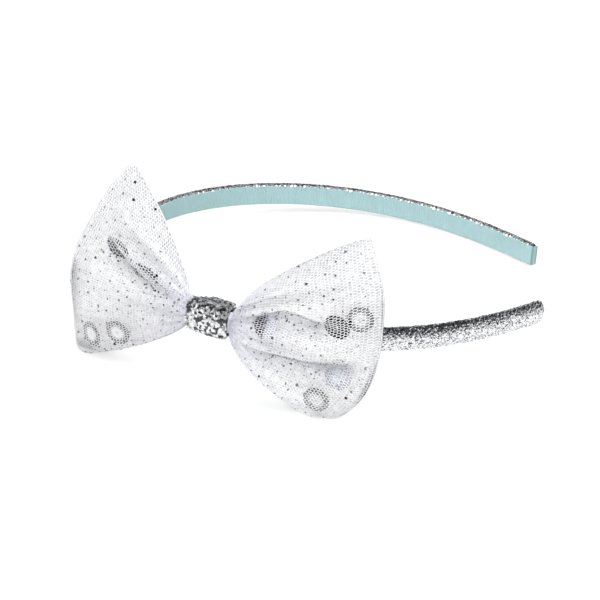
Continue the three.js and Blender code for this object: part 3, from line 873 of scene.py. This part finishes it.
class BuildCover(bpy.types.Operator):
    """Glitter band: a crowned bar broken into small facets, with loose flakes along its edges."""

    bl_idname = "bow_headband.cover"
    bl_label = "Glitter band"

    def execute(self, context):
        sizes = settings().band
        draw = np.random.default_rng(COVER_SEED)
        material = glitter_material("band_glitter_look", per_mm=3.0, dull=0.22, smooth=0.1, metal=1.0)
        self.bar(sizes.facet / MM, sizes.facet_rise / MM, draw, material)
        self.edge_flakes(draw, material)
        self.edge_sparks(draw)
        return {"FINISHED"}

    def bar(self, facet, rise, draw, material):
        steps = int(2 * HALF_LENGTH / facet)
        along = np.linspace(-HALF_LENGTH, HALF_LENGTH, steps + 1)
        out, up = self.section(self.half_width(along)[:, None], int(COVER_WIDTH / facet) + 1)
        shown = out > COVER_INNER
        shift = draw.normal(0.0, 1.0, up.shape) * rise * shown
        slide = (draw.random(up.shape) - 0.5) * FACET_SLIDE * facet * shown
        slide[[0, -1]] = 0.0
        points = lay(band_point(along[:, None] + slide, out[None] + shift, up + 0.5 * shift * np.sign(up)))
        points = rest_on_floor(points, ABOVE_FLOOR).reshape(-1, 3)
        quads, caps = facing_out(points, ring_faces(*up.shape, False))
        faces = split_quads(quads, draw), caps
        add_piece("glitter_band", points, faces, False, material, "silver_glitter", "band_cover")

    def section(self, half, face_points):
        """Outline of the bar: out for each point, and up for each half width and point."""
        face = np.linspace(-1.0, 1.0, face_points)
        wall = np.linspace(0.0, 1.0, WALL_STEPS)[1:-1]
        inner = np.linspace(1.0, -1.0, INNER_STEPS)
        out = (COVER_EDGE + COVER_CROWN * (1 - face ** 2), COVER_EDGE + wall * (COVER_INNER - COVER_EDGE),
               np.full(len(inner), COVER_INNER), COVER_INNER + wall * (COVER_EDGE - COVER_INNER))
        up = (face * half, half - COVER_LIP * wall,
              inner * (half - COVER_LIP), -half + COVER_LIP * (1 - wall))
        return np.concatenate(out), np.concatenate(up, axis=1)

    def half_width(self, along):
        """Half the width of the cloth with its nap, which stands up on the near limb."""
        nap = np.interp(along, NAP_ALONG, (COVER_NAP, 0.0))
        return (0.5 * COVER_WIDTH + nap) * np.interp(HALF_LENGTH - np.abs(along), TIP_BACK, TIP_WIDTH)

    def edge_flakes(self, draw, material):
        amount = int(2 * HALF_LENGTH / FLAKE_STEP)
        along = (np.arange(2 * amount) % amount + draw.random(2 * amount)) * FLAKE_STEP - HALF_LENGTH
        side = np.repeat((-1.0, 1.0), amount)
        out = COVER_INNER + FLAKE_OUT + 0.5 * (COVER_EDGE - COVER_INNER) * draw.random(2 * amount)
        level = side * (self.half_width(along) - np.where(side < 0, *FLAKE_UNDER))
        self.flakes("band_edge_flakes", along, out, level, (-0.5, side), FLAKE_WIDTH, draw, material)

    def edge_sparks(self, draw):
        # White flakes painted as glints along the upper edge
        amount = int(2 * HALF_LENGTH / SPARK_STEP)
        along = (np.arange(amount) + draw.random(amount)) * SPARK_STEP - HALF_LENGTH + SPARK_START
        along = along[draw.random(amount) < np.interp(np.abs(along), SPARK_ALONG, SPARK_SHARE)]
        out, level = (start + more * draw.random(len(along)) for start, more in (SPARK_OUT, SPARK_LEVEL))
        self.flakes("band_edge_sparks", along, out, level, (-1.0, 0.5), SPARK_WIDTH, draw, glint_material())

    def flakes(self, name, along, out, level, way, width, draw, material):
        """Loose flakes where the glitter cloth meets the ribbon, facing the given way out and up."""
        middles = lay(band_point(along, out, level))
        facing = lay(band_point(along, out + way[0], level + way[1])) - middles
        middles = rest_on_floor(middles, FLAKE_ABOVE_FLOOR)
        points, faces = chips(middles, facing, FLAKE_LEAN, width, FLAKE_THICK, draw)
        add_piece(name, points, faces, False, material, "silver_glitter", "band_cover")


class BuildLining(bpy.types.Operator):
    """Ribbon lining: a ribbed strip along the inner face, turned round the far tip."""

    bl_idname = "bow_headband.lining"
    bl_label = "Ribbon lining"

    def execute(self, context):
        sizes = settings().band
        pitch, rise, width = sizes.rib / MM, sizes.rib_rise / MM, sizes.ribbon / MM
        along, out, turn, turned = self.route(pitch)
        rib = rise * np.cos(2 * np.pi * run_length(np.stack((along, out), axis=-1)) / pitch)
        level = np.concatenate((RIBBON_ACROSS, RIBBON_ACROSS[::-1])) * 0.5 * width - LINING_DROP
        face = np.repeat((-1.0, 1.0), len(RIBBON_ACROSS))
        push = face * (0.5 * LINING_THICK - rise + rib)[:, None]
        along = along[:, None] - push * np.sin(turn)[:, None]
        out = out[:, None] + push * np.cos(turn)[:, None]
        points = lay(band_point(along, out, level)).reshape(-1, 3)
        faces = facing_out(points, ring_faces(*along.shape, False))
        look = ribbon_material()
        piece = add_piece("ribbon_lining", points, faces, True, look, "aqua_ribbon", "band_lining")
        # Mark for the painted shade where the ribbon is turned round the tip
        mark_points(piece, "turned", np.repeat(turned, len(level)))
        return {"FINISHED"}

    def route(self, pitch):
        """Middle of the ribbon from the near tip: along, out, its turn, and the painted shade there."""
        middle = 0.5 * LINING_THICK
        bend = GAP + middle
        ribs = int(2 * HALF_LENGTH / pitch)
        run = np.linspace(LINING_START - HALF_LENGTH, HALF_LENGTH, ribs * RIB_STEPS + 1)
        turn = 0.5 * np.pi * np.linspace(0.0, 1.0, TURN_STEPS)[1:]
        tail = np.linspace(middle + bend, LINING_TURN, TAIL_STEPS)[1:]
        along = (run, HALF_LENGTH + bend * np.sin(turn), np.full(len(tail), HALF_LENGTH + bend))
        out = (np.full(len(run), middle), middle + bend * (1 - np.cos(turn)), tail)
        turns = (np.zeros(len(run)), turn, np.full(len(tail), turn[-1]))
        # Painted shade: none along the run, full on the turn, growing along the tail
        turned = (np.zeros(len(run)), np.ones(len(turn)), np.linspace(*TAIL_SHADE, len(tail)))
        return [np.concatenate(parts) for parts in (along, out, turns, turned)]


def knot_loop(count):
    """Inside of the knot as points evenly spaced round it, with the way out from each."""
    corners = np.array(KNOT_CORNERS)
    path = []
    share = np.linspace(0.0, 1.0, KNOT_CORNER_STEPS)[:, None]
    for i, corner in enumerate(corners):
        others = corners[i - 1], corners[(i + 1) % len(corners)]
        start, end = (corner[:2] + unit(other[:2] - corner[:2]) * corner[2] for other in others)
        path.append((1 - share) ** 2 * start + 2 * share * (1 - share) * corner[:2] + share ** 2 * end)
    path = np.concatenate((*path, path[0][:1]))
    length = run_length(path)
    at = np.linspace(0.0, length[-1], count, endpoint=False)
    loop = np.stack([np.interp(at, length, row) for row in path.T], axis=-1)
    way = unit(np.roll(loop, -1, axis=0) - np.roll(loop, 1, axis=0))
    return loop, np.stack((way[:, 1], -way[:, 0]), axis=-1)


def knot_point(loop, out, across, rise):
    place = loop[:, None] + out[:, None] * rise[..., None]
    return lay(band_point(KNOT_AT - across, place[..., 0], place[..., 1]))


class BuildKnot(bpy.types.Operator):
    """Knot: a strip of coarse glitter wound round the band and the bow."""

    bl_idname = "bow_headband.knot"
    bl_label = "Coarse glitter knot"

    def execute(self, context):
        sizes = settings().band
        chunk, bump = sizes.chunk / MM, sizes.chunk_rise / MM
        draw = np.random.default_rng(KNOT_SEED)
        material = glitter_material("knot_glitter_look", per_mm=1.2, dull=0.42, smooth=0.2, metal=0.88)
        loop, out = knot_loop(int(KNOT_ROUND / chunk))
        front = max(corner[0] for corner in KNOT_CORNERS)
        half = KNOT_HALF_BACK + (KNOT_HALF_FRONT - KNOT_HALF_BACK) * np.maximum(loop[:, 0], 0.0) / front
        face = np.linspace(-1.0, 1.0, int(2 * KNOT_HALF_FRONT / chunk) + 1)
        rise = KNOT_WALL * (1 - KNOT_THINNED * np.abs(face) ** KNOT_EDGE_POWER)
        rise = rise + KNOT_CROWN * (1 - face ** 2)
        across = np.concatenate((face, KNOT_INSIDE))
        rise = np.concatenate((rise, np.zeros(len(KNOT_INSIDE))))
        shown = rise > 0
        shape = (len(loop), len(across))
        lift = draw.normal(0.0, bump, shape) * shown - 0.5 * bump * shown
        slide = (draw.random(shape) - 0.5) * FACET_SLIDE * chunk * shown
        points = knot_point(loop, out, across * half[:, None] + slide, rise + lift).reshape(-1, 3)
        faces = facing_out(points, ring_faces(*shape, True))
        faces = (split_quads(faces[0], draw),)
        add_piece("glitter_knot", points, faces, False, material, "coarse_glitter", "bow_knot")
        self.flakes(loop, out, half, draw, material)
        return {"FINISHED"}

    def flakes(self, loop, out, half, draw, material):
        """Larger flakes lying on the strip."""
        pick = draw.integers(0, len(loop), KNOT_FLAKES)
        where = (draw.random((KNOT_FLAKES, 1)) * 2 - 1) * KNOT_FLAKE_SPREAD * half[pick][:, None]
        level = np.full((KNOT_FLAKES, 1), KNOT_WALL + KNOT_FLAKE_UP)
        loop, out = loop[pick], out[pick]
        middles, outer = (knot_point(loop, out, where, level + more)[:, 0] for more in (0.0, 1.0))
        made = chips(middles, outer - middles, KNOT_FLAKE_LEAN, KNOT_FLAKE_WIDTH, KNOT_FLAKE_THICK, draw)
        add_piece("knot_flakes", *made, False, material, "coarse_glitter", "bow_knot")


def net_rows(pouch, cell, front):
    """Rows of cell middles over one cloth of a pouch: share, parts of the row's length, and across."""
    feel = np.linspace(-1.0, 1.0, ROW_SAMPLES)
    rows = []
    for i, share in enumerate(np.linspace(NET_START, 1.0, int(ROWS_REACH / (ROW_PITCH * cell)))):
        length = run_length(pouch.cloth(share, feel, front))
        amount = max(int(round((length[-1] / WIDEST_ROW) ** SPREAD * WIDEST_ROW / cell)), FEWEST_CELLS)
        at = (np.arange(amount) + ROW_STARTS[i % 2]) / amount
        rows.append((share, at, np.interp(at * length[-1], length, feel)))
    return rows


def net_threads(pouch, cell, front):
    """Six-sided net on one cloth of a pouch: the two ends of each thread as share and across.

    Each row of cell middles is zipped to the next with triangles, and threads join the middles of triangles
    that share a side."""
    rows = net_rows(pouch, cell, front)
    threads, lower = [], {}
    for (share, at, across), (next_share, next_at, next_across) in zip(rows, rows[1:]):
        j = k = 0
        upper, last = {}, None
        while j < len(at) - 1 or k < len(next_at) - 1:
            if k == len(next_at) - 1 or (j < len(at) - 1 and at[j + 1] < next_at[k + 1]):
                level = (across[j] + across[j + 1] + next_across[k]) / 3
                middle = ((2 * share + next_share) / 3, level)
                if j in lower:
                    threads.append((lower[j], middle))
                j += 1
            else:
                level = (across[j] + next_across[k] + next_across[k + 1]) / 3
                middle = ((share + 2 * next_share) / 3, level)
                upper[k] = middle
                k += 1
            threads.append((last or (middle[0], -1.0), middle))
            last = middle
        threads.append((last, (last[0], 1.0)))
        lower = upper
    threads += [(middle, (1.0, middle[1])) for middle in lower.values()]
    threads = np.array(threads)
    seed = np.sin(threads @ JITTER_MIX) * JITTER_SCALE
    inside = (threads[..., 0] < JITTER_WITHIN) & (np.abs(threads[..., 1]) < JITTER_WITHIN)
    return threads + (seed - np.floor(seed) - 0.5) * NET_JITTER * inside[..., None]


def cloth_area(pouch, front, lift=NET_LIFT):
    """Area of one cloth of a pouch outside the knot, in square metres."""
    share, across = np.linspace(0.0, 1.0, AREA_STEPS[0])[:, None], np.linspace(-1.0, 1.0, AREA_STEPS[1])
    points = pouch.cloth(share, across, front, lift) * MM
    first, second = points[1:, :-1] - points[:-1, :-1], points[:-1, 1:] - points[:-1, :-1]
    return float(np.linalg.norm(np.cross(first, second), axis=-1).sum())


class BuildNet(bpy.types.Operator):
    """Front and back of both pouches: six-sided net with glitter dots on the threads."""

    bl_idname = "bow_headband.net"
    bl_label = "Net"

    def execute(self, context):
        sizes = settings().net
        draw = np.random.default_rng(NET_SEED)
        material, dot_look = net_material(), dot_material()
        for front, label in ((1, ""), (-1, "back_")):
            for name, pouch in POUCHES.items():
                node = f"bow_loop_{name}"
                points, faces, marks = self.net(pouch, front, sizes)
                piece = add_piece(f"net_{label}{name}", points, faces, True, material, "white_net", node)
                for mark, values in marks.items():
                    mark_points(piece, mark, np.repeat(values, THREAD_SIDES))
                made = self.dots(pouch, front, draw, sizes)
                dots = add_piece(f"net_dots_{label}{name}", *made, False, dot_look, "white_net", node)
                cloth_area(pouch, front)
        return {"FINISHED"}

    def net(self, pouch, front, sizes):
        """Threads as thin rods, with hems along the edges of the front: points, faces and marks."""
        thread = sizes.thread / MM
        flat = net_threads(pouch, sizes.cell / MM, front)
        ends = rest_on_floor(pouch.cloth(flat[..., 0], flat[..., 1], front), 0.5 * thread)
        # Where the net lies double: thicker threads, and painted shadow
        laps = pouch.lapped(flat[..., 0], flat[..., 1]) if front > 0 else np.zeros(flat.shape[:2])
        shares = flat[..., 0]
        rim = np.linspace(-1.0, 1.0, HEM_SAMPLES)
        run = np.linspace(SIDE_HEM_START, 1.0, SIDE_HEM_SAMPLES)
        hems = [(np.ones(len(rim)), rim)] + [(run, np.full(len(run), level)) for level in (-1.0, 1.0)]
        for share, across in hems if front > 0 else ():
            hem = rest_on_floor(pouch.cloth(share, across, front), HEM_ABOVE * thread)
            ends = np.concatenate((ends, np.stack((hem[:-1], hem[1:]), axis=1)))
            shares = np.concatenate((shares, np.stack((share[:-1], share[1:]), axis=1)))
            laps = np.concatenate((laps, np.zeros((len(hem) - 1, 2))))
        radius = THREAD_RADIUS * thread * (1 + LAP_THICKER * laps.mean(axis=1))
        # Marks for the painted shade at the knot and the painted shadow under the pleats
        marks = {"gathered": np.exp(-np.maximum(shares, 0.0) / KNOT_SHADE_REACH), "lapped": laps}
        return *rods(ends[:, 0], ends[:, 1], radius, THREAD_SIDES), marks

    def dots(self, pouch, front, draw, sizes):
        """Dots in shaken rows, with more of them where the net lies double."""
        rows = np.arange(1, int(sizes.cut_length / (ROW_PITCH * sizes.dot_step)) + 1)
        column, row = np.meshgrid(rows, np.arange(-DOT_ROWS, DOT_ROWS + 1), indexing="ij")
        shake = draw.normal(0.0, DOT_SHAKE, (2, *column.shape))
        share = ((column + shake[0]) * ROW_PITCH * sizes.dot_step / sizes.cut_length).ravel()
        across = ((row + 0.5 * (column % 2) + shake[1]) * 2 * sizes.dot_step / sizes.cut_width).ravel()
        kept = (share < DOT_REACH[0]) & (np.abs(across) < DOT_REACH[1])
        kept &= draw.random(len(share)) < DOT_KEPT + share
        share, across = share[kept], across[kept]
        evenly = len(share)
        if front > 0:
            spots = draw.random((3, LAP_DOTS))
            out, aside = DOT_REACH[0] * spots[0], DOT_REACH[1] * (2 * spots[1] - 1)
            doubled = pouch.lapped(out, aside) > spots[2]
            share, across = np.append(share, out[doubled]), np.append(across, aside[doubled])
        middles = pouch.cloth(share, across, front)
        along = pouch.cloth(share + NUDGE, across, front) - middles
        up = pouch.cloth(share, across + NUDGE, front) - middles
        middles = rest_on_floor(middles, FLAKE_ABOVE_FLOOR)
        dot = sizes.dot / MM * np.where(np.arange(len(share)) < evenly, 1.0, LAP_DOT_SIZE)
        width = (DOT_WIDTH[0] * dot, DOT_WIDTH[1] * dot, DOT_WIDTH[2])
        return chips(middles, unit(np.cross(along, up)), DOT_LEAN, width, DOT_THICK, draw)


class BuildBacking(bpy.types.Operator):
    """Inside of the back of both pouches: close white cloth drawn together at the knot."""

    bl_idname = "bow_headband.backing"
    bl_label = "Backing cloth"

    def execute(self, context):
        sizes = settings().net
        material = backing_material()
        across = np.concatenate((BACKING_ACROSS, BACKING_ACROSS[::-1]))
        face = np.repeat((1.0, -1.0), len(BACKING_ACROSS))
        thick = face[:, None] * 0.5 * sizes.backing / MM * (LYING @ OUTWARD)
        for name, pouch in POUCHES.items():
            points = pouch.cloth(BACKING_SHARES[:, None], across[None], -1, BACKING_LIFT) + thick
            faces = ring_faces(*points.shape[:2], False)
            points = rest_on_floor(points, ABOVE_FLOOR).reshape(-1, 3)
            faces = facing_out(points, faces)
            node = f"bow_loop_{name}"
            piece = add_piece(f"backing_{name}", points, faces, True, material, "white_net", node)
            cloth_area(pouch, -1, BACKING_LIFT)
        return {"FINISHED"}


class BuildSequins(bpy.types.Operator):
    """Sequins: thin cupped discs with a hole, loose inside the pouches."""

    bl_idname = "bow_headband.sequins"
    bl_label = "Sequins"

    def execute(self, context):
        radius = settings().net.sequin / MM
        looks = {kind: sequin_material(kind) for kind in ("pearl", "blue", "grey", "dark_mirror", "half_lit")}
        turn = np.linspace(0.0, 2 * np.pi, SEQUIN_SIDES, endpoint=False)[:, None]
        share, film = np.array(SEQUIN_SECTION).T
        depth, start, power = SEQUIN_CUP
        level = SEQUIN_FILM * film - SEQUIN_BACK - depth * np.maximum(share - start, 0.0) ** power
        # Where the painted dark reflection on the rim begins
        tones = {kind: (share * np.ones_like(turn), RIM_SHADE) for kind in looks}
        # The half-lit sequin: painted dark on one side of its middle
        tones["half_lit"] = (share * np.cos(turn), HALF_LIT_SPLIT)
        for name, rows in (("left", LEFT_SEQUINS), ("right", RIGHT_SEQUINS)):
            for i, (reach, across, deep, lean, aside, kind) in enumerate(rows):
                middle = POUCHES[name].within(np.array(reach), np.array(across), deep)
                facing = self.facing(POUCHES[name].side, math.radians(lean), math.radians(aside))
                first = unit(np.cross(facing, LYING @ UPWARD))
                second = np.cross(facing, first)
                ring = (np.cos(turn) * radius * share)[..., None] * first
                ring = ring + (np.sin(turn) * radius * share)[..., None] * second
                points = (middle + ring + level[:, None] * facing).reshape(-1, 3)
                faces = facing_out(points, ring_faces(len(turn), len(share), True))
                disc, node = (f"{word}_{name}_{i + 1}" for word in ("disc", "sequin"))
                piece = add_piece(disc, points, faces, False, looks[kind], "sequin_film", node)
                # Mark for the painted dark reflection on the rim, and for the half-lit sequin its painted
                # dark half
                place, (edge, soft) = tones[kind]
                mark_points(piece, "rim", np.clip((place - edge) / soft, 0.0, 1.0))
        return {"FINISHED"}

    def facing(self, side, lean, aside):
        """Way that a sequin faces, leaned up and turned towards the outer fold."""
        level = math.cos(aside) * OUTWARD + side * math.sin(aside) * TIPWARD
        return LYING @ (math.sin(lean) * UPWARD + math.cos(lean) * level)


class BuildStage(bpy.types.Operator):
    """White floor, soft lights and the camera."""

    bl_idname = "bow_headband.stage"
    bl_label = "Stage"

    def execute(self, context):
        scene, sizes = context.scene, settings().stage
        floor = self.floor(sizes)
        world = bpy.data.worlds.new("room")
        world.use_nodes = True
        world.node_tree.nodes["Background"].inputs["Color"].default_value = (*sizes.room, 1.0)
        scene.world = world
        self.lamps(scene, floor)
        camera = bpy.data.cameras.new("camera")
        camera.lens, camera.sensor_width = sizes.lens, sizes.sensor
        camera.clip_start, camera.clip_end = CAMERA_CLIP
        roll = Quaternion((0.0, 0.0, 1.0), math.radians(CAMERA_ROLL))
        scene.camera = self.aimed(scene, camera, Vector(CAMERA_PLACE) * MM, Vector(CAMERA_AIM) * MM, roll)
        scene.view_settings.view_transform = "Standard"
        return {"FINISHED"}

    def floor(self, sizes):
        """Plain floor, which doesn't light the part from below."""
        corners = 0.5 * sizes.floor / MM * np.array(((-1, -1, 0), (1, -1, 0), (1, 1, 0), (-1, 1, 0)))
        floor = make_mesh("floor", corners, (((0, 1, 2, 3),),), False)
        material = new_material("floor_look")[0]
        shade(material, Base_Color=(*sizes.pale, 1.0), Roughness=0.9, Specular_IOR_Level=0.1)
        floor.data.materials.append(material)
        floor.visible_diffuse = False
        return floor

    def lamps(self, scene, floor):
        """Soft boxes; some leave out the floor, and the floor has a shadowless one of its own."""
        lit = {None: None}
        for name in ("floor_alone", "all_else"):
            lit[name] = bpy.data.collections.new(name)
            lit[name].objects.link(floor)
        lit["all_else"].collection_objects[0].light_linking.link_state = "EXCLUDE"
        for name, place, height, wide, high, power, mirrored, lights in LAMPS:
            lamp = bpy.data.lights.new(name, "AREA")
            lamp.shape = "RECTANGLE"
            lamp.size, lamp.size_y, lamp.energy = wide, high, power
            lamp.use_shadow = lights != "floor_alone"
            holder = self.aimed(scene, lamp, Vector(place), Vector((0.0, 0.0, height)))
            holder.visible_glossy = mirrored
            holder.visible_camera = False
            holder.light_linking.receiver_collection = lit[lights]

    def aimed(self, scene, data, place, aim, roll=Quaternion()):
        """Lamp or camera at a place, looking at a point."""
        holder = bpy.data.objects.new(data.name, data)
        holder.location = place
        holder.rotation_mode = "QUATERNION"
        holder.rotation_quaternion = (aim - place).to_track_quat("-Z", "Y") @ roll
        scene.collection.objects.link(holder)
        return holder


class HeadbandPanel(bpy.types.Panel):
    """Sidebar with the sizes, colours and builders."""

    bl_idname = "VIEW3D_PT_bow_headband"
    bl_label = "Bow headband"
    bl_space_type = "VIEW_3D"
    bl_region_type = "UI"
    bl_category = "Bow headband"

    def draw(self, context):
        values = settings()
        for group in (values.band, values.net, values.finish, values.stage):
            box = self.layout.box()
            for name in group.__annotations__:
                box.prop(group, name)
        for builder in BUILDERS:
            self.layout.operator(builder.bl_idname)


BUILDERS = (BuildCover, BuildLining, BuildKnot, BuildNet, BuildBacking, BuildSequins, BuildStage)
CLASSES = (BandSizes, NetSizes, Finishes, StageSizes, HeadbandSettings, *BUILDERS, HeadbandPanel)


def register():
    for each in CLASSES:
        bpy.utils.register_class(each)
    bpy.types.Scene.bow_headband = bpy.props.PointerProperty(type=HeadbandSettings)


def unregister():
    del bpy.types.Scene.bow_headband
    for each in reversed(CLASSES):
        bpy.utils.unregister_class(each)


def main():
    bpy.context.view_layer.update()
    register()
    bpy.ops.bow_headband.cover()
    bpy.ops.bow_headband.lining()
    bpy.ops.bow_headband.knot()
    bpy.ops.bow_headband.net()
    bpy.ops.bow_headband.backing()
    bpy.ops.bow_headband.sequins()
    bpy.ops.bow_headband.stage()


if __name__ == "__main__":
    main()
